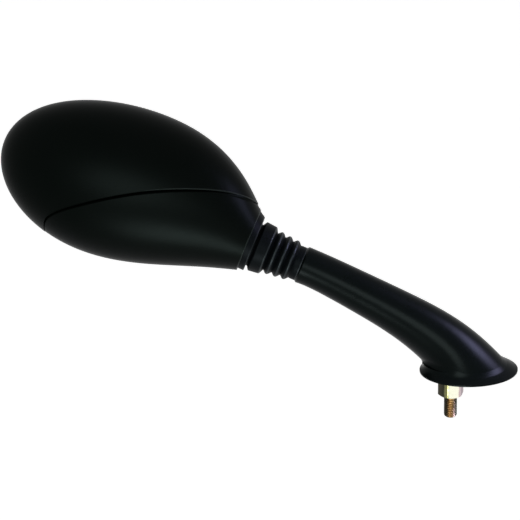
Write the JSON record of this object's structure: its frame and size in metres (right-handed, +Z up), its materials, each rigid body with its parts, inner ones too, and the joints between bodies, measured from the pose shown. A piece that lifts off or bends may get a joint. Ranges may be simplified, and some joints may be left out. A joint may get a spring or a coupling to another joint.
{
  "type": "motorcycle mirror",
  "caption": "Egg-shaped mirror head on a ball joint with a ribbed bellows boot, a curved arm cover with a flared oval foot, and a threaded stud under a hexagon shoulder.",
  "frame": {"origin": "on the stud's axis, where the underside of the hexagon shoulder seats", "axes": "+Z up along the stud, -X out along the arm to the mirror head, +Y towards the rider, where the glass faces"},
  "size_m": [0.3059, 0.108, 0.187],
  "materials": {
    "shell_black": "finely grained matte black",
    "mirror_face": "silvered, slightly convex",
    "grey_foam": "thin foam",
    "carrier_black": "plain moulded",
    "plain_steel": "bright zinc",
    "black_rubber": "moulded rubber",
    "white_nylon": "natural nylon",
    "arm_black": "smooth satin black",
    "cast_core": "as cast",
    "yellow_zinc": "yellow zinc plated"
  },
  "bodies": {
    "arm": {"arm_cover": "arm_black", "arm_core": "cast_core", "mounting_stud": "yellow_zinc", "lock_washer": "plain_steel", "ball_pin": "plain_steel"},
    "rear_seat": {"rear_ball_seat": "white_nylon"},
    "front_seat": {"front_ball_seat": "white_nylon"},
    "head": {"head_shell": "shell_black", "mirror_glass": "mirror_face", "glass_pad": "grey_foam", "glass_carrier": "carrier_black", "carrier_screws": "plain_steel", "glass_gasket": "black_rubber", "pressure_cup": "carrier_black", "cup_spring": "plain_steel", "spring_cap": "plain_steel", "cap_screws": "plain_steel", "cap_washers": "plain_steel", "boot": "black_rubber"}
  },
  "joints": [
    {"name": "head_twist", "type": "hinge", "parent": "arm", "child": "rear_seat", "pos_m": [-0.11469, 0.03197, 0.0874], "axis": [0.9118, -0.1671, -0.3752], "range_deg": [-20, 20], "deforming": ["boot"]},
    {"name": "head_pan", "type": "hinge", "parent": "rear_seat", "child": "front_seat", "pos_m": [-0.11469, 0.03197, 0.0874], "axis": [0.4107, 0.3708, 0.8329], "range_deg": [-15, 15], "deforming": ["boot"]},
    {"name": "head_lift", "type": "hinge", "parent": "front_seat", "child": "head", "pos_m": [-0.11469, 0.03197, 0.0874], "axis": [0, -0.9135, 0.4067], "range_deg": [-12, 12], "deforming": ["boot"]}
  ]
}
